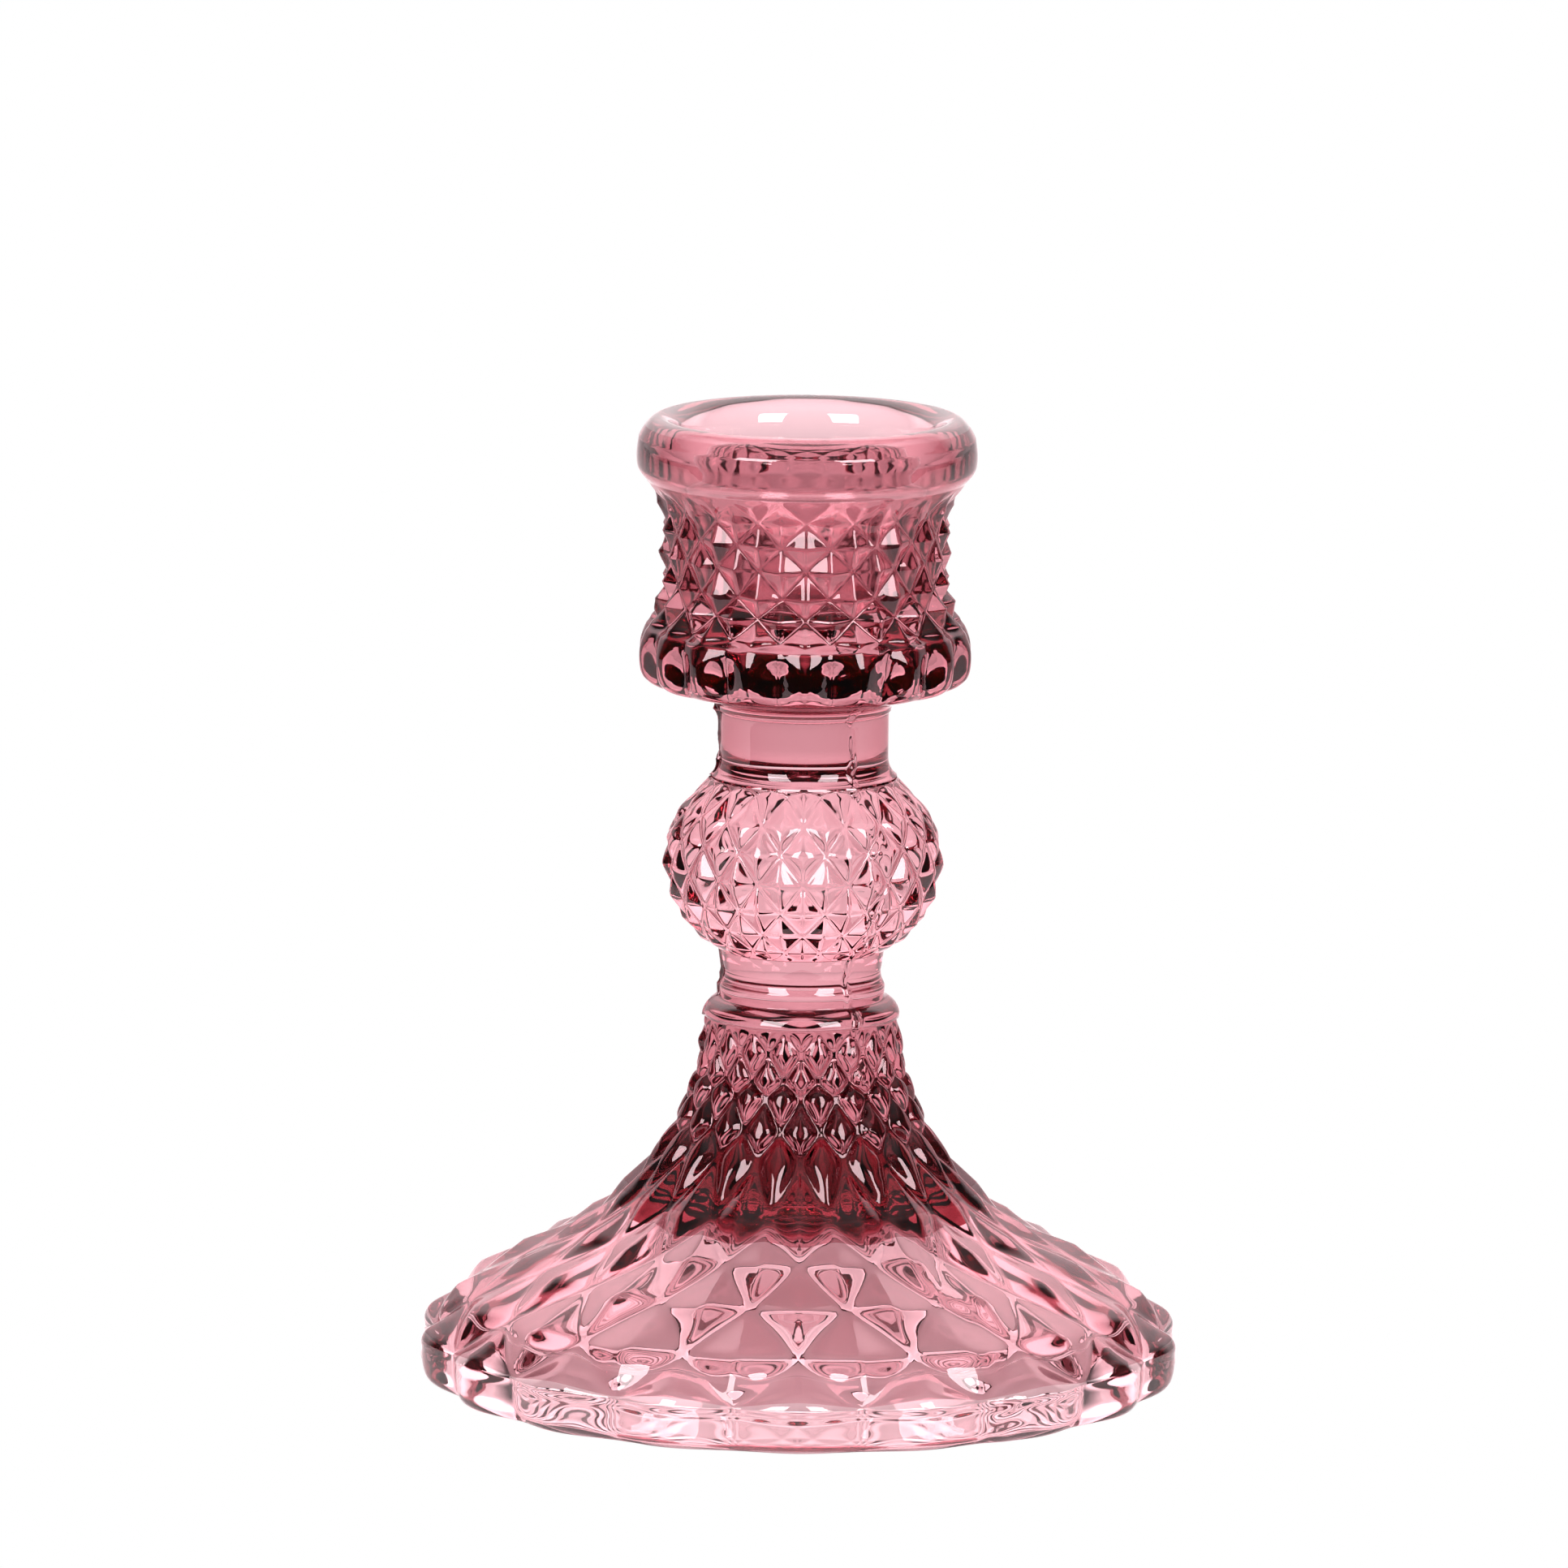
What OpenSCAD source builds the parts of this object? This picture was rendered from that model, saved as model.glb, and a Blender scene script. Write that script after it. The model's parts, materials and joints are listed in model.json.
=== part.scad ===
// Pressed glass candlestick: one clear glass pressing with a socket for a taper candle.
// Nine named glass sections meet face to face on flat planes, from the rim down to the foot.
// Half-drop diamonds cover the cup, the knop and the foot, in columns that line up all the way.

/* [Overall] */
// Height from the table to the top of the rim, mm
total_h = 103; // [96:1:110]
// Diameter over the lobes of the foot, mm
foot_d = 80.8; // [78:0.2:84]
// Number of diamond columns round the glass
columns = 18; // [16:2:20]

/* [Socket] */
// Bore of the candle socket, for a 22 mm taper, mm
socket_d = 22.6; // [22.2:0.1:23]
// Depth of the socket below the top of the rim, mm
socket_depth = 20.5; // [19:0.5:21]
// Diameter over the rolled rim ring, mm
ring_d = 35.9; // [35.4:0.1:36.6]

/* [Stem] */
// Diameter over the crowns of the knop, mm
knop_d = 29.6; // [28:0.2:31]
// Diameter of the plain neck above the knop, mm
upper_neck_d = 17.8; // [17:0.1:18.4]
// Diameter of the plain neck below the knop, mm
lower_neck_d = 16.8; // [16:0.1:17.4]

/* [Relief] */
// Height of the cup diamonds, mm
cup_relief = 0.9; // [0.4:0.05:1.1]
// Height of the knop diamonds, mm
knop_relief = 1.1; // [0.5:0.05:1.3]
// Height of the large foot diamonds, mm
foot_relief = 1.3; // [0.6:0.1:1.6]
// Depth of the grooves between the lobes, mm
lobe_relief = 1.7; // [0.8:0.1:1.8]
// Depth of the grooves between the beads under the cup, mm
bead_relief = 1.3; // [0.6:0.1:1.5]

/* [Foot] */
// Height of the hollow under the foot, mm
hollow_h = 19.6; // [17:0.2:20]
// Thickness of glass over the hollow, mm
foot_wall = 3.4; // [3:0.1:4]

/* [Hidden] */
$fn = 96;
glass = [0.62, 0.22, 0.32, 0.45];
sub = 2;                                  // mesh steps along each diamond edge
half_step = 180 / columns;                // angle from a groove crossing to a crown
foot_r = foot_d / 2;
usual_h = 103;                            // height at which the levels below are stated
top = total_h - usual_h;                  // everything above the knop moves with the height
socket_r = socket_d / 2;
socket_floor = total_h - socket_depth;

// Planes where the sections meet
ring_z = 96.4 + top;
skirt_z = 81.3 + top;
bead_bottom_z = 73.3 + top;
knop_top_z = 64.7;
knop_bottom_z = 46.3;
cone_top_z = 39.2;
hollow_top_z = 20.6;
rim_z = 5.8;

// Distance of a from the nearest even whole number
function from_even(a) = abs(a - 2 * round(a / 2));

// Height share of a diamond cell at column x and row y: 0 on a groove, 1 on a crown
function cell(x, y, first) = min(from_even(x + y + first), from_even(x - y - first));

// Row between the listed rows; a row is [radius over the crown, height, relief]
function row_at(rows, y) =
    let (i = min(floor(y), len(rows) - 2), f = y - i)
    rows[i] * (1 - f) + rows[i + 1] * f;

// Radius share: round-topped cells above lobe_from, upright round lobes below it
function share(x, y, first, round_top, lobe_from) =
    y < lobe_from ? 1 - pow(1 - cell(x, y, first), round_top) : abs(cos(90 * x));

// Solid of the given rows, from the first plane to the last one; a ring joins its last row
// to its first instead, and so has a hole through it
module relief_solid(rows, first = 0, round_top = 1, lobe_from = 1000, ring = false) {
    path = ring ? concat(rows, [rows[0]]) : rows;
    nx = 2 * columns * sub;
    ny = (len(path) - 1) * sub;
    last = ring ? ny - 1 : ny;
    pts = [for (j = [0 : last], k = [0 : nx - 1])
        let (x = k / sub, y = j / sub, row = row_at(path, y),
             r = row[0] - row[2] * (1 - share(x, y, first, round_top, lobe_from)),
             a = half_step * x)
        [r * sin(a), -r * cos(a), row[1]]];
    sides = [for (j = [0 : ny - 1], k = [0 : nx - 1])
        let (next = (j + 1) % (last + 1) * nx,
             a = j * nx + k, b = j * nx + (k + 1) % nx,
             d = next + k, c = next + (k + 1) % nx,
             falls = (floor(k / sub) + floor(j / sub) + first) % 2 == 0)
        each falls ? [[a, b, c], [a, c, d]] : [[a, b, d], [b, c, d]]];
    caps = ring ? [] : [[for (k = [nx - 1 : -1 : 0]) k], [for (k = [0 : nx - 1]) ny * nx + k]];
    polyhedron(points = pts, faces = concat(sides, caps), convexity = 4);
}

// Points of an ellipse arc, centre [r, z], half widths [a, b], angles in degrees
function arc(c, h, from, to, n) =
    [for (i = [0 : n]) let (t = from + (to - from) * i / n) c + [h[0] * cos(t), h[1] * sin(t)]];

// Rolled ring round the mouth, round in section; the bore opens out through it
module rim_ring() {
    tube = [2.5, 3.5];                    // half width and half height of the ring's section
    mid = [ring_d / 2 - tube[0], total_h - tube[1]];
    start = asin((ring_z - mid[1]) / tube[1]);
    color(glass) difference() {
        rotate_extrude() polygon(concat(
            [[socket_r - 1, mid[1]], [socket_r - 1, ring_z]],
            arc(mid, tube, start, 180, 30)));
        translate([0, 0, ring_z - 1]) cylinder(r = socket_r, h = total_h);
        translate([0, 0, ring_z])
            cylinder(r1 = socket_r, r2 = mid[0] - tube[0], h = mid[1] - ring_z);
    }
}

// Cup wall covered in flat-sided diamonds, with the bore and floor of the socket
module candle_cup() {
    count = 6;                            // rows of crossings from the ring to the skirt
    waist_r = 15.35;
    top_flare = 1.5;
    top_rows = 1.4;                       // rows over which the wall flares out to the ring
    low_flare = 1.45;
    low_rows = 2.4;                       // rows over which it flares out to the skirt
    step = (ring_z - skirt_z) / count;
    rows = [for (j = [0 : count])
        let (z = ring_z - step * j,
             low = max(0, j - count + low_rows) / low_rows,
             high = max(0, top_rows - j) / top_rows)
        [waist_r + low_flare * pow(low, 1.8) + top_flare * pow(high, 1.7), z,
         j == 0 ? 0 : j == count ? bead_relief * 0.9 : cup_relief]];
    color(glass) difference() {
        relief_solid(rows, 1, 1, count);
        translate([0, 0, socket_floor]) cylinder(r = socket_r, h = total_h);
    }
}

// Skirt of round beads below the cup: upright sides, a tight turn and a shallow underside
module bead_skirt() {
    half_h = (skirt_z - bead_bottom_z) / 2;
    // crown radius, share of the half height, share of the relief
    sides = [[16.8, 1, 0.9], [17.4, 0.6, 0.6], [17.7, 0.2, 1], [17.6, -0.2, 1],
             [16.9, -0.5, 0.6], [14.6, -0.78, 0.2], [11, -1, 0]];
    mid_z = (skirt_z + bead_bottom_z) / 2;
    rows = [for (s = sides) [s[0], mid_z + s[1] * half_h, s[2] * bead_relief]];
    color(glass) relief_solid(rows, 0, 1, 0);
}

// Plain neck between the skirt and the knop
module upper_neck() {
    r = upper_neck_d / 2;
    under = 11;
    fillet = [1.4, 1.3];
    color(glass) rotate_extrude() polygon(concat(
        [[0, bead_bottom_z], [under, bead_bottom_z]],
        arc([r + fillet[0], bead_bottom_z - 0.5 - fillet[1]], fillet, 90, 180, 8),
        arc([r + 1.6, knop_top_z + 2.2], [1.6, 2.2], 180, 240, 6),
        [[r + 0.9, knop_top_z], [0, knop_top_z]]));
}

// Knop of the stem, an egg-round ball covered in round-topped diamonds
module knop() {
    mid_z = 55.6;
    half_h = 11.8;
    turns = [45, 30, 15, 0, -15, -30, -42];  // latitudes of the rows of crossings
    shallow_from = 20;                    // latitude above which the diamonds are half as high
    r = knop_d / 2;
    ends = function (z, in) (r - in) * sqrt(1 - pow((z - mid_z) / half_h, 2));
    rows = concat([[ends(knop_top_z, 0.2), knop_top_z, 0]],
        [for (t = turns) [r * cos(t), mid_z + half_h * sin(t),
                          t > shallow_from ? knop_relief / 2 : knop_relief]],
        [[ends(knop_bottom_z, 0.8), knop_bottom_z, 0]]);
    color(glass) relief_solid(rows, 0, 1.3);
}

// Plain neck between the knop and the foot
module lower_neck() {
    r = lower_neck_d / 2;
    color(glass) rotate_extrude() polygon(concat(
        [[0, knop_bottom_z], [r + 0.3, knop_bottom_z]],
        arc([r + 2.4, 43.6], [2.4, 2.4], 165, 215, 6),
        arc([r - 0.6, cone_top_z], [2.6, 2.2], 70, 0, 6),
        [[0, cone_top_z]]));
}

// Radius over the crowns and height of the foot at each row of crossings, as far as the rim
foot_rows = [[10.05, cone_top_z], [10.7, 36.6], [11.1, 33.9], [11.75, 32], [13, 28.8],
             [14.6, 25.9], [19, hollow_top_z], [23.5, 16.9], [29.8, 13.5], [36.2, 9.6],
             [foot_r - 0.35, rim_z]];

// Foot row with its relief added, growing with the size of the diamonds
function foot_row(j) =
    let (p = foot_rows[j])
    [p[0], p[1], j == 0 ? 0 : j == 10 ? lobe_relief : foot_relief * min(1, p[0] / 24)];

// Hollow under the foot: bottoms of the grooves moved in by the wall thickness
function groove_foot(j) = foot_rows[j] - [foot_row(j)[2], 0];
function hollow_row(j) =
    let (s = groove_foot(j + 1) - groove_foot(j - 1),
         p = groove_foot(j) - [-s[1], s[0]] / norm(s) * foot_wall)
    [p[0], min(p[1], hollow_h - 1), 0];
hollow_foot = [[36.6, 0, 0], [36.4, 0.4, 0], [35, 3.1, 0]];
hollow_rim = [lookup(rim_z, [[3.1, 35], [hollow_row(9)[1], hollow_row(9)[0]]]), rim_z, 0];

// Solid upper part of the foot with small round-topped diamonds
module foot_cone() {
    color(glass) relief_solid([for (j = [0 : 6]) foot_row(j)], 1, 1.7);
}

// Spreading part of the foot with large diamonds over the hollow
module foot_skirt() {
    roof = [[12.4, hollow_h - 0.3, 0], [9.6, hollow_h, 0]];
    color(glass) relief_solid(concat([for (j = [6 : 10]) foot_row(j)], [hollow_rim],
        [for (j = [9 : -1 : 6]) hollow_row(j)], roof), 1, 1.7, 4);
}

// Lobed rim of the foot and the flat ring it stands on
module foot_rim() {
    lobes = [[foot_r - 0.35, rim_z, lobe_relief], [foot_r, 3.9, lobe_relief],
        [foot_r - 0.1, 2.2, lobe_relief], [foot_r - 0.8, 0.7, lobe_relief * 0.8],
        [foot_r - 2.2, 0, lobe_relief * 0.4]];
    color(glass) relief_solid(concat(lobes, hollow_foot, [hollow_rim]), 0, 1, 0, true);
}

rim_ring();
candle_cup();
bead_skirt();
upper_neck();
knop();
lower_neck();
foot_cone();
foot_skirt();
foot_rim();
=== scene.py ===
"""Pressed glass candlestick: nine glass sections in one shared frame, on a pale floor."""

import json
import math

import bpy
import numpy as np
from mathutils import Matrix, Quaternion, Vector


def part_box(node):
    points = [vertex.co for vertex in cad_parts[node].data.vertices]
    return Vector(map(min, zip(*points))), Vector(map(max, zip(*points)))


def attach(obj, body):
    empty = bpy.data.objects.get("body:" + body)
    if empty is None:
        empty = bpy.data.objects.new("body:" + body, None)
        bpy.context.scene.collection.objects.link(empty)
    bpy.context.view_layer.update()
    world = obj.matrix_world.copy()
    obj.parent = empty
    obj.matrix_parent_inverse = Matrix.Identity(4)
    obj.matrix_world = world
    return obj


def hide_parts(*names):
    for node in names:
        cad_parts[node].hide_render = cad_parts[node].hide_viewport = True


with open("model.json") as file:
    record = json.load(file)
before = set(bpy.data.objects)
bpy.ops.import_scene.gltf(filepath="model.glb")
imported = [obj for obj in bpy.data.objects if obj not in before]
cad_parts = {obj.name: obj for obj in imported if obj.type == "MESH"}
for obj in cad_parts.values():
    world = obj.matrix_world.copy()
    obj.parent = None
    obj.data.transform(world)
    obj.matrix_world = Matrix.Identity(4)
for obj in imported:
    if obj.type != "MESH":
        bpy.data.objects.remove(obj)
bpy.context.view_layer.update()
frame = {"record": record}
MM = 0.001

# ---------------------------------------------------------------- driving sizes, mm
COLUMNS = 18
HALF_STEP = 180 / COLUMNS  # degrees from a groove crossing to a crown
FINE = 10  # mesh steps along a diamond's half height and half width
AROUND = 2 * COLUMNS * FINE
SOCKET_DEPTH = 20.5
AXIS_R = 0.4  # last ring of the socket's floor and of the hollow's roof, before the axis


def node_z(node):
    """Lowest and highest level of a CAD node, mm."""
    low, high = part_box(node)
    return low[2] / MM, high[2] / MM


TOP_Z = node_z("rim_ring")[1]
RING_Z = node_z("rim_ring")[0]
SKIRT_Z = node_z("candle_cup")[0]
BEAD_Z = node_z("bead_skirt")[0]
KNOP_TOP_Z = node_z("knop")[1]
KNOP_LOW_Z = node_z("knop")[0]
CONE_Z = node_z("foot_cone")[1]
HOLLOW_Z = node_z("foot_cone")[0]
RIM_Z = node_z("foot_rim")[1]
SOCKET_R = frame["record"]["mounts"][0]["dims"]["r_mm"]
SOCKET_FLOOR_Z = TOP_Z - SOCKET_DEPTH
FOOT_R = (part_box("foot_rim")[1][1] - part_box("foot_rim")[0][1]) / MM / 2
RING_R = (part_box("rim_ring")[1][0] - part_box("rim_ring")[0][0]) / MM / 2


# ---------------------------------------------------------------- relief of the glass
EASED = 0.7  # rounding of the grooves between the lobes: 0 sharp, 1 fully round
SHARP = 1e-3  # the least rounding of a groove
NO_LOBES = 1e9  # row from which a band without lobes turns to lobes


def from_even(a):
    """Distance of a from the nearest even whole number."""
    return np.abs(a - 2 * np.round(a / 2))


def groove(t, soft):
    """Distance t from a groove line, with the bottom of the groove rounded by soft."""
    return (np.sqrt(t * t + soft * soft) - soft) / (np.sqrt(1 + soft * soft) - soft)


def cell(x, y, soft, swell, ridge):
    """Height share of the half-drop diamonds: 0 in a groove, 1 on a crown."""
    p = groove(from_even(x + y), soft)
    q = groove(from_even(x - y), soft)
    low = -ridge * np.log(np.exp(-p / ridge) + np.exp(-q / ridge))
    low = np.clip(low + ridge * math.log(2) * np.minimum(p, q), 0, 1)
    return 1 - (1 - low) ** swell


def lobes(x, swell):
    """Height share of the upright lobes below a row of crowns, with the grooves eased."""
    t = from_even(x) ** swell
    return 1 - (1 + EASED) * t + EASED * t * t


def smooth_rows(rows, steps):
    """Catmull-Rom through the given rows, steps to a row."""
    rows = np.asarray(rows, float)
    ext = np.vstack([2 * rows[0] - rows[1], rows, 2 * rows[-1] - rows[-2]])
    out = []
    for i in range(1, len(ext) - 2):
        p0, p1, p2, p3 = ext[i - 1 : i + 3]
        for s in range(steps):
            t = s / steps
            out.append(
                0.5 * (2 * p1 + (p2 - p0) * t + (2 * p0 - 5 * p1 + 4 * p2 - p3) * t**2
                       + (3 * p1 - p0 - 3 * p2 + p3) * t**3)
            )
    out.append(rows[-1])
    return np.array(out)


def arc(centre, half, start, end, steps):
    """Points of an ellipse arc in the r, z plane, angles in degrees."""
    t = np.radians(np.linspace(start, end, steps + 1))
    return np.column_stack([centre[0] + half[0] * np.cos(t), centre[1] + half[1] * np.sin(t)])


def line(a, b, step=0.6):
    """Straight run from a to b in steps of about the given length."""
    n = max(1, int(math.ceil(math.dist(a, b) / step)))
    return np.column_stack([np.linspace(a[0], b[0], n + 1), np.linspace(a[1], b[1], n + 1)])


def join(*runs):
    """Runs end to end, leaving out points that repeat."""
    pts = [runs[0][0]]
    for run in runs:
        for p in run:
            if math.dist(p, pts[-1]) > 1e-4:
                pts.append(p)
    return np.array(pts)


X = np.arange(AROUND) / FINE  # column coordinate, in half columns
ANGLE = np.radians(HALF_STEP * X)


def plain(profile):
    """Rings of an even surface of revolution."""
    return np.repeat(profile[:, None, 0], AROUND, 1), np.repeat(profile[:, None, 1], AROUND, 1)


def relief(rows, first, lobe_from=NO_LOBES):
    """Rings of a relief band.

    rows: crown radius, level, relief depth, swell of the cell, tilt, groove and ridge rounding.
    Tilt 0 cuts the relief straight towards the axis, 1 square to the profile.
    """
    fine = smooth_rows(rows, FINE)
    y = np.arange(len(fine))[:, None] / FINE
    x = X[None, :]
    swell, lift, soft = fine[:, 3:4], fine[:, 4:5], np.maximum(fine[:, 5:6], SHARP)
    share = np.where(y < lobe_from, cell(x, y + first, soft, swell, fine[:, 6:7]),
                     lobes(x, swell))
    drop = fine[:, 2:3] * (1 - share)
    slope = np.gradient(fine[:, :2], axis=0)
    n = np.column_stack([-slope[:, 1], slope[:, 0]]) / np.linalg.norm(slope, axis=1)[:, None]
    return (fine[:, 0:1] - drop * (1 - lift + lift * n[:, 0:1]),
            fine[:, 1:2] - drop * lift * n[:, 1:2])


def rows_of(band, first, last):
    """The part of a relief band from one row to another."""
    r, z = band
    return r[first * FINE : last * FINE + 1], z[first * FINE : last * FINE + 1]


# ---------------------------------------------------------------- profiles, mm
# rim ring: from the socket wall over the lip and down outside
LIP_STEPS = 6  # mesh steps between the points of its profile
RING_FOOT_R = 16.85  # where the ring runs into the cup
MOUTH_R = 11.9  # the socket opens towards the mouth
lip_points = smooth_rows([(MOUTH_R, RING_Z), (12.3, 97.6), (12.6, 98.6), (12.75, 99.6),
                          (12.85, 100.4), (12.95, 100.9), (13.12, 101.4), (13.4, 101.85),
                          (13.8, 102.25), (14.4, 102.65), (15.1, TOP_Z - 0.07),
                          (15.75, TOP_Z), (16.4, 102.75), (16.95, 102.2), (17.35, 101.6),
                          (17.6, 101.15), (17.72, 100.9), (17.77, 100.65), (17.84, 100.2),
                          (17.93, 99.4), (RING_R, 98.6), (17.85, 97.8), (17.5, 97.1),
                          (RING_FOOT_R, RING_Z)], LIP_STEPS)
PAINTED_GLARE_TO = LIP_STEPS * 13  # up to here the coat is paler, a painted glare over the crest of the ring as far as its outer shoulder
ROUGH_LIP = LIP_STEPS * 2  # plunger marks reach this far into the mouth
throat_run = lip_points[: ROUGH_LIP + 1]
mouth_run, lip_run = lip_points[ROUGH_LIP : PAINTED_GLARE_TO + 1], lip_points[PAINTED_GLARE_TO:]

# cup and skirt of beads, in the columns of relief()
UNDER_R = 11.0  # where the skirt's underside runs into the neck's fillet
CUT_GLASS = (0, 0.05, 0.05)  # tilt, groove and ridge of crisp diamonds
PEBBLE = (0, 0, 0.1)  # and of the round beads
cup_rows = [(RING_FOOT_R, RING_Z, 0.0, 1, *CUT_GLASS), (15.5, 93.74, 0.8, 1, *CUT_GLASS),
            (15.35, 91.21, 0.9, 1, *CUT_GLASS), (15.3, 88.65, 0.95, 1, *CUT_GLASS),
            (15.35, 85.79, 1.15, 1, 0, 0, 0.05), (15.8, 83.57, 1.3, 1.05, 0, 0, 0.05),
            (16.55, SKIRT_Z, 1.15, 1.5, 0, 0, 0.1), (17.05, 80.5, 0.7, 2, *PEBBLE),
            (17.38, 79.7, 0.75, 2, *PEBBLE), (17.6, 79.0, 1.05, 2, *PEBBLE),
            (17.7, 78.2, 1.3, 2, *PEBBLE), (17.68, 77.2, 1.35, 2, *PEBBLE),
            (17.5, 76.2, 1.2, 2, *PEBBLE), (17.0, 75.4, 0.85, 2, *PEBBLE),
            (15.8, 74.6, 0.35, 2, *PEBBLE), (13.5, 74.0, 0.1, 2, *PEBBLE),
            (UNDER_R, BEAD_Z, 0, 2, *PEBBLE)]
cup_and_beads = relief(cup_rows, 1, 6)

# necks and knop
UPPER_R = 8.9
LOWER_R = 8.35
NECK_FOOT_R = LOWER_R + 0.35  # where the knop runs into the lower neck
under_run = join(
    smooth_rows([(UNDER_R, BEAD_Z), (9.9, 72.93), (9.4, 72.6), (9.2, 72.2), (9.15, 72.0)], 4),
    smooth_rows([(9.15, 72.0), (9.12, 71.92), (8.98, 71.78), (8.93, 71.6), (UPPER_R, 71.0)], 3),
    line((UPPER_R, 71.0), (UPPER_R, KNOP_TOP_Z + 2.2)),
    arc((UPPER_R + 1.6, KNOP_TOP_Z + 2.2), (1.6, 2.2), 180, 245, 8),
)
KNOP_MID = 55.6  # level of its greatest width
KNOP_HALF = 11.8
KNOP_R = 14.85
knop_rows = [(under_run[-1][0], KNOP_TOP_Z, 0, 2, *CUT_GLASS)]
# level, relief and swell of each row of crossings
for z, h, swell in ((63.99, 0.4, 2), (61.35, 0.6, 2), (58.55, 0.8, 2), (55.34, 1.0, 1.4),
                    (52.19, 0.85, 1), (49.63, 0.7, 1), (47.58, 0.5, 1)):
    r = KNOP_R * math.sqrt(1 - ((z - KNOP_MID) / KNOP_HALF) ** 2)
    knop_rows.append((r, z, h, swell, *CUT_GLASS))
knop_rows.append((NECK_FOOT_R, KNOP_LOW_Z, 0, 1, *CUT_GLASS))
lower_run = join(
    arc((LOWER_R + 2.4, 43.9), (2.4, 2.4), 155, 215, 8),
    arc((LOWER_R - 0.55, CONE_Z), (2.6, 2.2), 70, 0, 8),
)
lower_run[0] = (NECK_FOOT_R, KNOP_LOW_Z)

# foot: crown radius and level at each row of crossings, relief, swell, groove, ridge
FOOT = [(10.05, CONE_Z, 0, 2, 0.1, 0.1), (10.7, 36.58, 0.65, 3, 0.12, 0.2),
        (11.1, 33.9, 0.85, 3, 0.12, 0.2), (11.75, 32.0, 1.0, 3, 0.12, 0.2),
        (13.0, 28.8, 1.1, 3, 0.12, 0.2), (14.6, 25.88, 1.2, 2.6, 0.15, 0.2),
        (19.0, HOLLOW_Z, 1.0, 1.4, 0.2, 0.12), (23.5, 16.86, 1.15, 1.1, 0.2, 0.08),
        (29.8, 13.45, 1.25, 1, 0.2, 0.08), (36.2, 9.6, 1.4, 1.1, 0.2, 0.08)]
LOBE = 1.7  # depth of the grooves between the lobes of the rim
RIM = [(FOOT_R - 0.35, RIM_Z, LOBE, 1.8, 0.15, 0.1), (FOOT_R, 3.9, LOBE, 2, 0, 0.1),
       (FOOT_R - 0.1, 2.3, LOBE, 2, 0, 0.1), (FOOT_R - 0.5, 1.0, LOBE * 0.9, 2, 0, 0.1),
       (FOOT_R - 1.3, 0.25, LOBE * 0.7, 2, 0, 0.1), (FOOT_R - 2.4, 0, LOBE * 0.3, 2, 0, 0.1)]
TILTS = (0.3,) * len(FOOT) + (0.9, 0.6, 0.3, 0, 0, 0)
foot = relief([(r, z, h, swell, tilt, soft, ridge)
               for (r, z, h, swell, soft, ridge), tilt in zip(FOOT + RIM, TILTS)], 1, len(FOOT))

# hollow under the foot: the bottoms of the foot's grooves moved in by the wall
WALL = 3.4
ROOF_Z = 19.6
ROOF_R = 9.6  # the flat part of the roof
HOLLOW_R = 35  # at the top of the bevel inside the standing ring
BEVEL_Z = 3.1
RIM_GROOVE_R = 38.6
edge = [(row[0] - row[2], row[1]) for row in FOOT] + [(RIM_GROOVE_R, RIM_Z)]
inner = []
for j in (9, 8, 7, 6):
    s = np.subtract(edge[j + 1], edge[j - 1])
    n = np.array([-s[1], s[0]]) / np.linalg.norm(s)
    p = np.array(edge[j]) - n * WALL
    inner.append((p[0], min(p[1], ROOF_Z - 1)))
share_low = (RIM_Z - BEVEL_Z) / (inner[0][1] - BEVEL_Z)
inner_rim = (HOLLOW_R + (inner[0][0] - HOLLOW_R) * share_low, RIM_Z)
hollow_low_run = smooth_rows([(36.6, 0), (36.4, 0.4), (HOLLOW_R, BEVEL_Z), inner_rim], 6)
hollow_side = smooth_rows([inner_rim] + inner + [(12.4, ROOF_Z - 0.3), (ROOF_R, ROOF_Z)], 8)
ROOF_FROM = 28  # point of the hollow's side where the coated roof starts
hollow_high_run = hollow_side[: ROOF_FROM + 1]
roof_run = join(hollow_side[ROOF_FROM:], line((ROOF_R, ROOF_Z), (AXIS_R, ROOF_Z), 1.0))

# socket: floor, rounded corner, straight bore, and the flare up to the ring
CORNER = 1.2
FLARE_Z = 92.0
corner_r, corner_z = SOCKET_R - CORNER, SOCKET_FLOOR_Z + CORNER
socket_run = join(line((AXIS_R, SOCKET_FLOOR_Z), (corner_r, SOCKET_FLOOR_Z), 1.0),
                  arc((corner_r, corner_z), (CORNER, CORNER), -90, 0, 6),
                  line((SOCKET_R, corner_z), (SOCKET_R, FLARE_Z), 1.0),
                  smooth_rows([(SOCKET_R, FLARE_Z), (11.33, 93.5), (11.5, 95.0),
                               (MOUTH_R, RING_Z)], 5))

# ---------------------------------------------------------------- one continuous skin
# from the socket's floor over the lip, down the outside and up to the hollow's roof
BANDS = [
    ("socket", plain(socket_run)),
    ("throat", plain(throat_run)),
    ("mouth", plain(mouth_run)),
    ("lip", plain(lip_run)),
    ("cup", rows_of(cup_and_beads, 0, 6)),
    ("beads", rows_of(cup_and_beads, 6, 16)),
    ("upper_neck", plain(under_run)),
    ("knop", relief(knop_rows, 0)),
    ("lower_neck", plain(lower_run)),
    ("cone", rows_of(foot, 0, 6)),
    ("skirt", rows_of(foot, 6, 10)),
    ("rim", rows_of(foot, 10, 15)),
    ("hollow_low", plain(hollow_low_run)),
    ("hollow_high", plain(hollow_high_run)),
    ("roof", plain(roof_run)),
]


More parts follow.
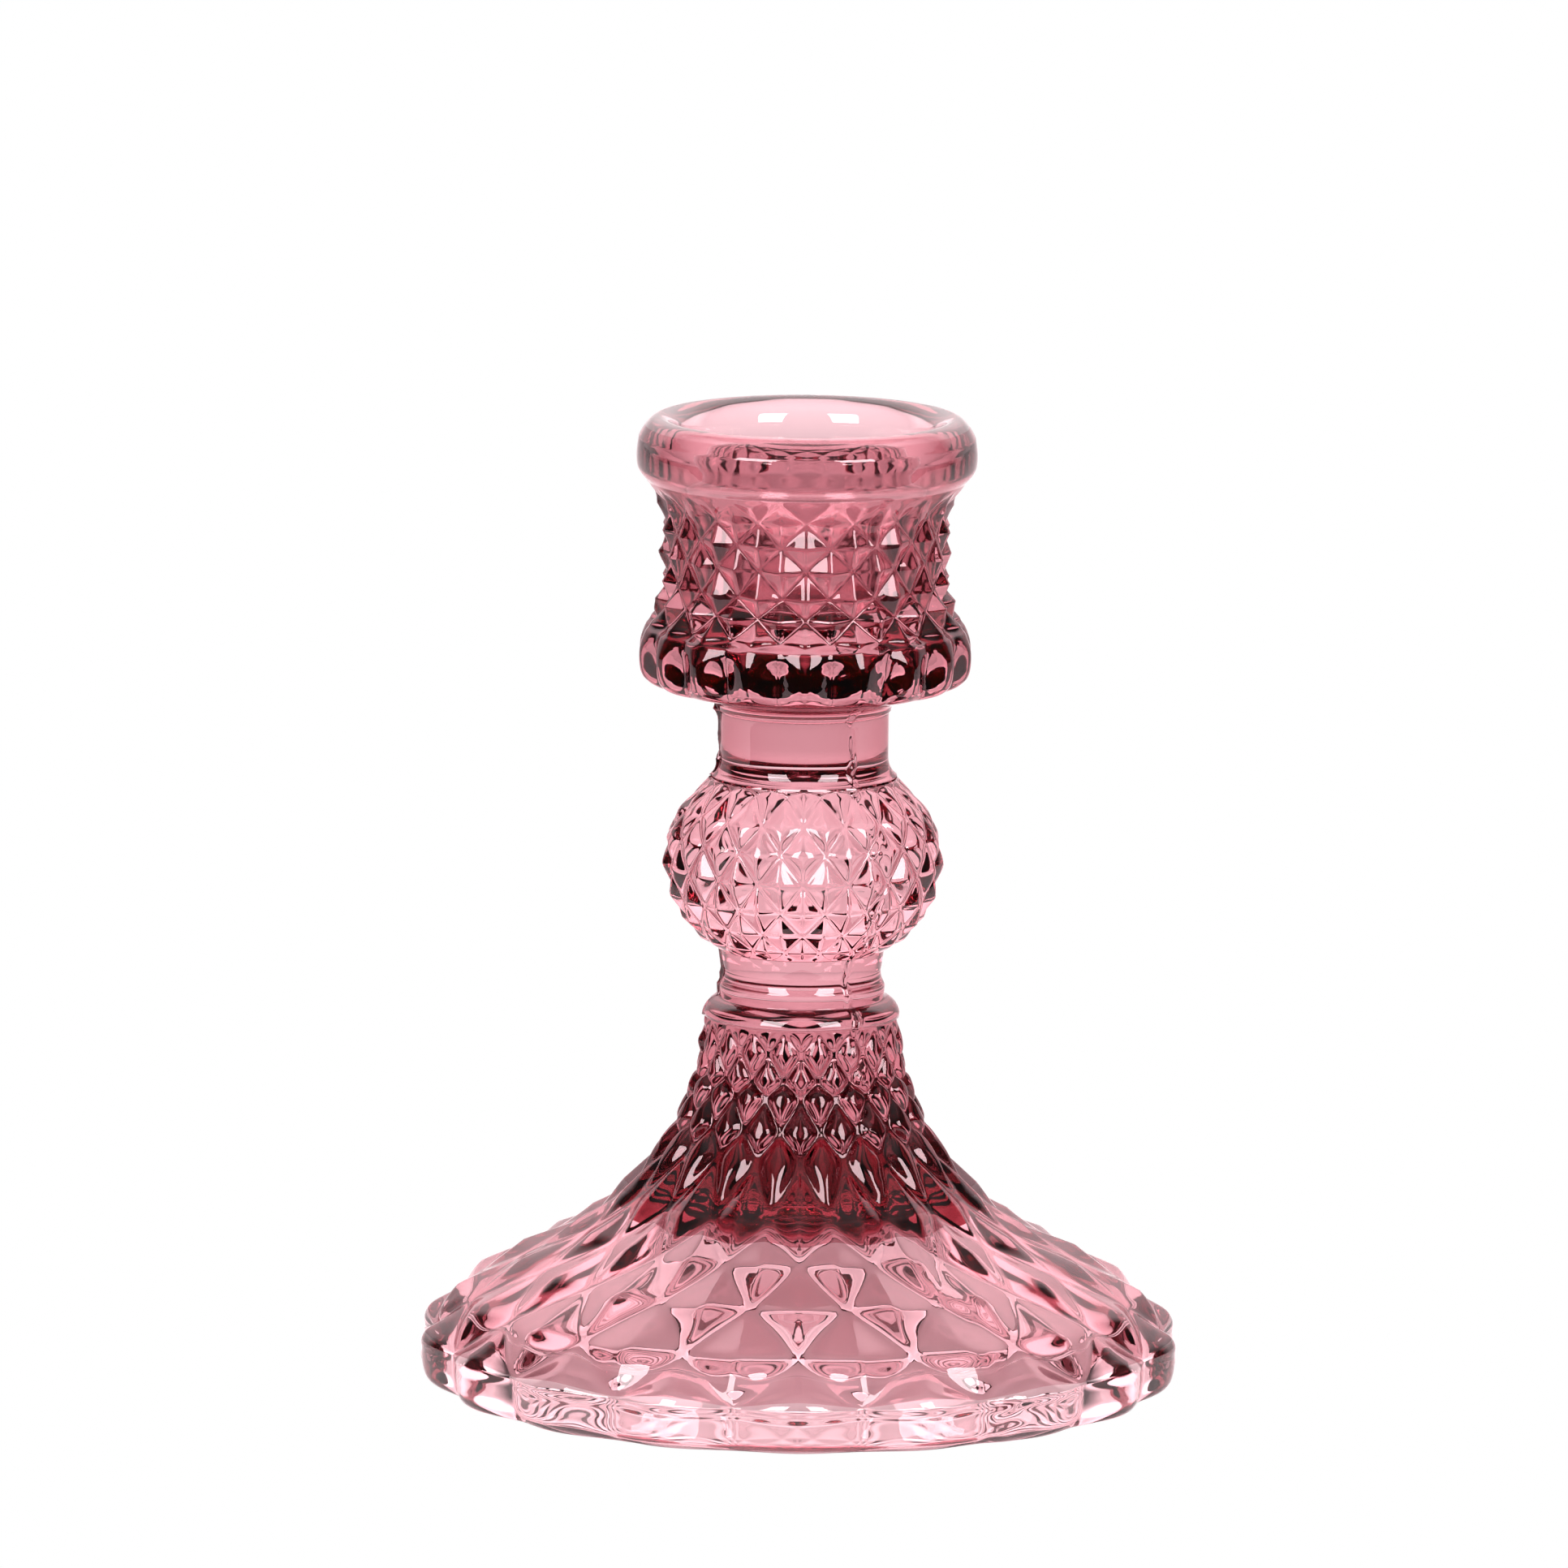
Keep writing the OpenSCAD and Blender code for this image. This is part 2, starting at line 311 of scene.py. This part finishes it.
SEAM_PARTS = 3  # parts of the mould
SEAM_HEIGHT = 0.35
SEAM_SPREAD = 0.4 / 12  # half width as an angle: 0.4 mm on a radius of 12 mm
SEAM_TURN = (30.0, 34.0)  # degrees round from the front, on the cup and below it
SEAM_BLOBS = (72.0, 66.8, 43.6)  # levels where the glass has squeezed out into the joint
BLOB_HALF = 0.5
WITH_SEAM = ("cup", "beads", "upper_neck", "knop", "lower_neck", "cone", "skirt", "rim")


def seam(angle, z):
    """Uneven ridge that each joint of the mould leaves on the outside, mm."""
    ridge = 0
    for k in range(SEAM_PARTS):
        drift = 0.02 * np.sin(z * 0.9 + k) + 0.012 * np.sin(z * 2.3 + 2 * k)
        side = np.radians(np.where(z > BEAD_Z - 0.3, *SEAM_TURN))
        gap = (angle - side - k * 2 * math.pi / SEAM_PARTS + math.pi + drift) % (2 * math.pi)
        size = 0.65 + 0.35 * np.sin(z * 1.7 + 3 * k) * np.sin(z * 0.6 + k)
        ridge = ridge + size * np.exp(-(((gap - math.pi) / SEAM_SPREAD) ** 2))
    blob = 1 + sum(np.exp(-(((z - level) / BLOB_HALF) ** 2)) for level in SEAM_BLOBS)
    return SEAM_HEIGHT * ridge * blob


rings_r, rings_z, starts = [], [], {}
count = 0
for name, (r, z) in BANDS:
    if name in WITH_SEAM:
        r = r + seam(ANGLE[None, :], z)
    starts[name] = (count, count + len(r))
    rings_r.append(r)
    rings_z.append(z)
    count += len(r)
R = np.vstack(rings_r)
Z = np.vstack(rings_z)
SKIN = np.stack([R * np.sin(ANGLE), -R * np.cos(ANGLE), Z], axis=-1) * MM


SAME = 1e-7  # rings closer than this are one ring, m


def skin_normals():
    """Smooth normals of the whole skin, so that the sections' joints don't show."""
    keep = np.ones(len(SKIN), bool)
    keep[1:] = np.linalg.norm(SKIN[1:, 0] - SKIN[:-1, 0], axis=1) > SAME
    idx = np.where(keep)[0]
    body = SKIN[idx]
    down = np.gradient(body, axis=0)
    around = np.roll(body, -1, axis=1) - np.roll(body, 1, axis=1)
    n = np.cross(down, around)
    n /= np.maximum(np.linalg.norm(n, axis=2, keepdims=True), 1e-12)
    return n[np.cumsum(keep) - 1]


NORMAL = skin_normals()

# which way each mesh square is split, so that the grooves are edges
FIRST = {"cup": 1, "knop": 0, "cone": 1, "skirt": 1}  # parity of each band's first row
FALLS = np.zeros(R.shape, bool)
for name, first in FIRST.items():
    a, b = starts[name]
    y = (np.arange(b - a) // FINE)[:, None] + first
    FALLS[a:b] = (np.floor(X).astype(int)[None, :] + y) % 2 == 0


# ---------------------------------------------------------------- glass
# how thick the rose coat is on each band; the bands left out have none
# the paler coat of the socket, throat and mouth is a painted highlight: it paints the pale haze
# and glare that the lamps and the white backdrop leave over the mouth and the crest of the ring
COAT_SHARE = {"socket": 0.5, "throat": 0.5, "mouth": 0.38, "lip": 0.7, "cup": 1.12,
              "beads": 1.2, "upper_neck": 1.12, "knop": 0.88, "lower_neck": 1.0, "cone": 1.4,
              # the pale coat of the foot's rim is partly a painted highlight, for the whiteness
              # that the light leaves on the standing ring
              "skirt": 1.0, "rim": 0.45, "roof": 1.3}
ROUGH = {"socket": 0.12, "throat": 0.12}  # bands with plunger marks

COAT = (0.735, 0.494, 0.53)  # light left after one pass through a coated surface
COAT_IOR = 1.05
BODY_PART = 0.45  # share of that colour that the glass under the coat holds
GLASS_IOR = 1.51
TOTAL = 0.999  # a Fresnel share above this is total reflection


def bare_glass():
    """Uncoated clear glass of the hollow under the foot."""
    mat = bpy.data.materials.new("bare_glass")
    mat.use_nodes = True
    bsdf = mat.node_tree.nodes["Principled BSDF"]
    bsdf.inputs["Base Color"].default_value = (1, 1, 1, 1)
    bsdf.inputs["Roughness"].default_value = 0.0
    bsdf.inputs["IOR"].default_value = GLASS_IOR
    bsdf.inputs["Transmission Weight"].default_value = 1.0
    return mat


def rose_glass(name, share, rough=0.0):
    """Pale rose pressed glass with a thin transparent rose coat fired on its surface."""
    tint = [c**share for c in COAT]
    mat = bpy.data.materials.new(name)
    mat.use_nodes = True
    nt = mat.node_tree
    bsdf = nt.nodes["Principled BSDF"]
    bsdf.inputs["Base Color"].default_value = (*(c ** (2 * BODY_PART) for c in tint), 1)
    bsdf.inputs["Roughness"].default_value = rough
    bsdf.inputs["IOR"].default_value = GLASS_IOR
    bsdf.inputs["Transmission Weight"].default_value = 1.0
    bsdf.inputs["Coat Weight"].default_value = 1.0
    bsdf.inputs["Coat Roughness"].default_value = 0.0
    bsdf.inputs["Coat IOR"].default_value = COAT_IOR
    # light thrown back inside the glass crosses the coat twice
    fresnel = nt.nodes.new("ShaderNodeFresnel")
    fresnel.inputs["IOR"].default_value = GLASS_IOR
    total = nt.nodes.new("ShaderNodeMath")
    total.operation = "GREATER_THAN"
    total.inputs[1].default_value = TOTAL
    pick = nt.nodes.new("ShaderNodeMix")
    pick.data_type = "RGBA"
    colours = [i for i in pick.inputs if i.type == "RGBA"]
    colours[0].default_value = (*(c ** (1 - BODY_PART) for c in tint), 1)
    colours[1].default_value = (*(c * c for c in tint), 1)
    result = [o for o in pick.outputs if o.type == "RGBA"][0]
    nt.links.new(fresnel.outputs[0], total.inputs[0])
    nt.links.new(total.outputs[0], pick.inputs[0])
    nt.links.new(result, bsdf.inputs["Coat Tint"])
    return mat


def open_cut():
    """Clear cut faces, where one section of the glass runs on into the next."""
    mat = bpy.data.materials.new("open_cut")
    mat.use_nodes = True
    bsdf = mat.node_tree.nodes["Principled BSDF"]
    bsdf.inputs["Base Color"].default_value = (1, 1, 1, 1)
    bsdf.inputs["Alpha"].default_value = 0.0
    return mat


CUT = open_cut()
BARE_GLASS = bare_glass()
GLASS = {band: rose_glass("rose_glass_" + band, share, ROUGH.get(band, 0.0))
         for band, share in COAT_SHARE.items()}


def build(name, node, runs, joins, tips):
    """Closed section of the glass.

    runs: lists of skin bands. joins: pairs of run ends closed to each other by a clear cut.
    tips: run ends closed to the axis, by a clear cut or by glass, facing up or down.
    A run's end is (run, START) or (run, END).
    """
    verts, normals, polys, slot, ends = [], [], [], [], []
    mats = [CUT]

    def slot_of(band):
        mat = GLASS.get(band, BARE_GLASS)
        if mat not in mats:
            mats.append(mat)
        return mats.index(mat)

    for bands in runs:
        rows = [starts[bands[0]][0]]
        for j in range(rows[0] + 1, starts[bands[-1]][1]):
            if np.abs(SKIN[j, 0] - SKIN[rows[-1], 0]).max() > SAME:
                rows.append(j)
        base = len(verts)
        verts.extend(SKIN[rows].reshape(-1, 3))
        normals.extend(NORMAL[rows].reshape(-1, 3))
        for i, j in enumerate(rows[:-1]):
            band = [name for name in bands if j >= starts[name][0]][-1]
            coat = slot_of(band)
            for k in range(AROUND):
                a, b = base + i * AROUND + k, base + i * AROUND + (k + 1) % AROUND
                c, d = b + AROUND, a + AROUND
                if FALLS[j, k]:
                    polys += [(b, a, c), (a, d, c)]
                else:
                    polys += [(b, a, d), (b, d, c)]
                slot += [coat, coat]
        ends.append((base, base + (len(rows) - 1) * AROUND))
    for (ra, ea), (rb, eb) in joins:
        a0, b0 = ends[ra][ea], ends[rb][eb]
        for k in range(AROUND):
            n = (k + 1) % AROUND
            polys.append((a0 + n, a0 + k, b0 + k, b0 + n))
            slot.append(0)
    for (run, end), clear, up in tips:
        ring = ends[run][end]
        centre = len(verts)
        tip = 0 if clear else slot_of("socket" if up else "roof")
        verts.append(np.array([0, 0, verts[ring][2]]))
        normals.append(np.array([0, 0, 1.0 if up else -1.0]))
        for k in range(AROUND):
            n = (k + 1) % AROUND
            polys.append((ring + k, ring + n, centre) if up else (ring + n, ring + k, centre))
            slot.append(tip)
    mesh = bpy.data.meshes.new(name)
    mesh.from_pydata([tuple(v) for v in verts], [], polys)
    for mat in mats:
        mesh.materials.append(mat)
    mesh.polygons.foreach_set("material_index", slot)
    mesh.polygons.foreach_set("use_smooth", [s != 0 for s in slot])
    mesh.update()
    flat = (0.0, 0.0, 0.0)
    loops = [flat if slot[i] == 0 else tuple(normals[v]) for i, p in enumerate(polys) for v in p]
    mesh.normals_split_custom_set(loops)
    obj = bpy.data.objects.new(name, mesh)
    bpy.context.scene.collection.objects.link(obj)
    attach(obj, "root")
    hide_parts(node)


START, END = 0, 1
UP, DOWN = True, False
CLEAR, SOLID = True, False
BOTH_CUT = [((0, START), CLEAR, UP), ((0, END), CLEAR, DOWN)]
build("rim_ring_glass", "rim_ring", [["throat", "mouth", "lip"]], [((0, END), (0, START))], [])
build("candle_cup_glass", "candle_cup", [["socket"], ["cup"]], [((0, END), (1, START))],
      [((0, START), SOLID, UP), ((1, END), CLEAR, DOWN)])
build("bead_skirt_glass", "bead_skirt", [["beads"]], [], BOTH_CUT)
build("upper_neck_glass", "upper_neck", [["upper_neck"]], [], BOTH_CUT)
build("knop_glass", "knop", [["knop"]], [], BOTH_CUT)
build("lower_neck_glass", "lower_neck", [["lower_neck"]], [], BOTH_CUT)
build("foot_cone_glass", "foot_cone", [["cone"]], [], BOTH_CUT)
build("foot_skirt_glass", "foot_skirt", [["skirt"], ["hollow_high", "roof"]],
      [((0, END), (1, START))], [((0, START), CLEAR, UP), ((1, END), SOLID, DOWN)])
build("foot_rim_glass", "foot_rim", [["rim"], ["hollow_low"]], [((1, END), (0, START))], [])


# ---------------------------------------------------------------- studio
def map_range(nt, from_min, from_max, to_min, to_max):
    """Map Range node with the given ends."""
    node = nt.nodes.new("ShaderNodeMapRange")
    node.inputs["From Min"].default_value = from_min
    node.inputs["From Max"].default_value = from_max
    node.inputs["To Min"].default_value = to_min
    node.inputs["To Max"].default_value = to_max
    return node


def emission_world(white, dark):
    """White behind the glass and brighter upwards, dark on the viewer's side."""
    world = bpy.data.worlds.new("studio")
    bpy.context.scene.world = world
    world.use_nodes = True
    nt = world.node_tree
    nt.nodes.clear()
    coord = nt.nodes.new("ShaderNodeTexCoord")
    sep = nt.nodes.new("ShaderNodeSeparateXYZ")
    nt.links.new(coord.outputs["Generated"], sep.inputs[0])

    # backdrop: from dark in front to white behind, stronger above the horizon
    ramp = nt.nodes.new("ShaderNodeValToRGB")
    front, back = ramp.color_ramp.elements
    front.position, front.color = 0.40, (dark, dark, dark, 1)
    back.position, back.color = 0.58, (white, white, white, 1)
    lift = map_range(nt, 0.15, 0.5, 1.0, 2.2)
    backdrop = nt.nodes.new("ShaderNodeBackground")
    nt.links.new(sep.outputs["Y"], ramp.inputs[0])
    nt.links.new(sep.outputs["Z"], lift.inputs["Value"])
    nt.links.new(ramp.outputs[0], backdrop.inputs["Color"])
    nt.links.new(lift.outputs["Result"], backdrop.inputs["Strength"])

    # soft light straight overhead
    above = map_range(nt, 0.7, 0.95, 0.0, 1.0)
    ceiling = nt.nodes.new("ShaderNodeBackground")
    both = nt.nodes.new("ShaderNodeAddShader")
    nt.links.new(sep.outputs["Z"], above.inputs["Value"])
    nt.links.new(above.outputs["Result"], ceiling.inputs["Strength"])
    nt.links.new(backdrop.outputs[0], both.inputs[0])
    nt.links.new(ceiling.outputs[0], both.inputs[1])

    # seen directly, the backdrop is plain white
    path = nt.nodes.new("ShaderNodeLightPath")
    seen = nt.nodes.new("ShaderNodeBackground")
    seen.inputs["Color"].default_value = (1, 1, 1, 1)
    mix = nt.nodes.new("ShaderNodeMixShader")
    out = nt.nodes.new("ShaderNodeOutputWorld")
    nt.links.new(path.outputs["Is Camera Ray"], mix.inputs[0])
    nt.links.new(both.outputs[0], mix.inputs[1])
    nt.links.new(seen.outputs[0], mix.inputs[2])
    nt.links.new(mix.outputs[0], out.inputs[0])


FLOOR_HALF = 1.5  # m
FLOOR_FRONT = -0.08  # the front edge; nearer, its mirror image would grey the dark glass
FLOOR_GAP = 0.0002  # below the standing ring, so that the two faces don't flicker
FLOOR_GLOW = 0.2
FLOOR_WHITE = 0.8


def floor():
    """Pale matt floor, plain white where it is seen directly."""
    mesh = bpy.data.meshes.new("floor")
    h = FLOOR_HALF
    mesh.from_pydata([(-h, FLOOR_FRONT, 0), (h, FLOOR_FRONT, 0), (h, h, 0), (-h, h, 0)], [],
                     [(0, 1, 2, 3)])
    obj = bpy.data.objects.new("floor", mesh)
    bpy.context.scene.collection.objects.link(obj)
    mat = bpy.data.materials.new("pale_floor")
    mat.use_nodes = True
    nt = mat.node_tree
    nt.nodes.clear()
    glow = nt.nodes.new("ShaderNodeEmission")
    glow.inputs["Strength"].default_value = FLOOR_GLOW
    matt = nt.nodes.new("ShaderNodeBsdfDiffuse")
    matt.inputs["Color"].default_value = (FLOOR_WHITE, FLOOR_WHITE, FLOOR_WHITE, 1)
    both = nt.nodes.new("ShaderNodeAddShader")
    path = nt.nodes.new("ShaderNodeLightPath")
    seen = nt.nodes.new("ShaderNodeEmission")
    seen.inputs["Strength"].default_value = 1.0
    mix = nt.nodes.new("ShaderNodeMixShader")
    out = nt.nodes.new("ShaderNodeOutputMaterial")
    nt.links.new(glow.outputs[0], both.inputs[0])
    nt.links.new(matt.outputs[0], both.inputs[1])
    nt.links.new(path.outputs["Is Camera Ray"], mix.inputs[0])
    nt.links.new(both.outputs[0], mix.inputs[1])
    nt.links.new(seen.outputs[0], mix.inputs[2])
    nt.links.new(mix.outputs[0], out.inputs[0])
    mesh.materials.append(mat)
    obj.location.z = -FLOOR_GAP


def softbox(name, azimuth, elevation, distance, width, height, power):
    """Rectangular light aimed at the glass; azimuth 0 is the camera's side."""
    light = bpy.data.lights.new(name, "AREA")
    light.shape = "RECTANGLE"
    light.size = width
    light.size_y = height
    light.energy = power
    obj = bpy.data.objects.new(name, light)
    bpy.context.scene.collection.objects.link(obj)
    a, e = math.radians(azimuth), math.radians(elevation)
    target = Vector((0, 0, 0.06))
    obj.location = target + distance * Vector(
        (math.sin(a) * math.cos(e), -math.cos(a) * math.cos(e), math.sin(e)))
    obj.rotation_euler = (target - obj.location).to_track_quat("-Z", "Y").to_euler()


def camera():
    """Long lens from the front, a little above the rim, with a slight roll."""
    cam = bpy.data.cameras.new("camera")
    obj = bpy.data.objects.new("camera", cam)
    bpy.context.scene.collection.objects.link(obj)
    cam.sensor_width = 36
    cam.lens = 331.4
    cam.clip_start = 0.05
    cam.clip_end = 20
    place = Vector((0, -1.5, 0.327))
    aim = Vector((-0.0021, 0, 0.0638))
    turn = (aim - place).to_track_quat("-Z", "Y")
    roll = Quaternion(Vector((0, 0, 1)), math.radians(0.55))
    obj.rotation_mode = "QUATERNION"
    obj.rotation_quaternion = turn @ roll
    obj.location = place
    bpy.context.scene.camera = obj


emission_world(white=1.5, dark=0.08)
floor()
softbox("key_left", azimuth=-37, elevation=28, distance=0.9, width=0.42, height=0.5, power=12)
softbox("key_right", azimuth=36, elevation=28, distance=0.9, width=0.38, height=0.5, power=11)
camera()
view = bpy.context.scene.view_settings
view.view_transform = "Standard"
view.look = "None"
cycles = bpy.context.scene.cycles  # enough bounces for light to cross nine sections
cycles.max_bounces = 32
cycles.transmission_bounces = 32
cycles.glossy_bounces = 32
cycles.transparent_max_bounces = 64
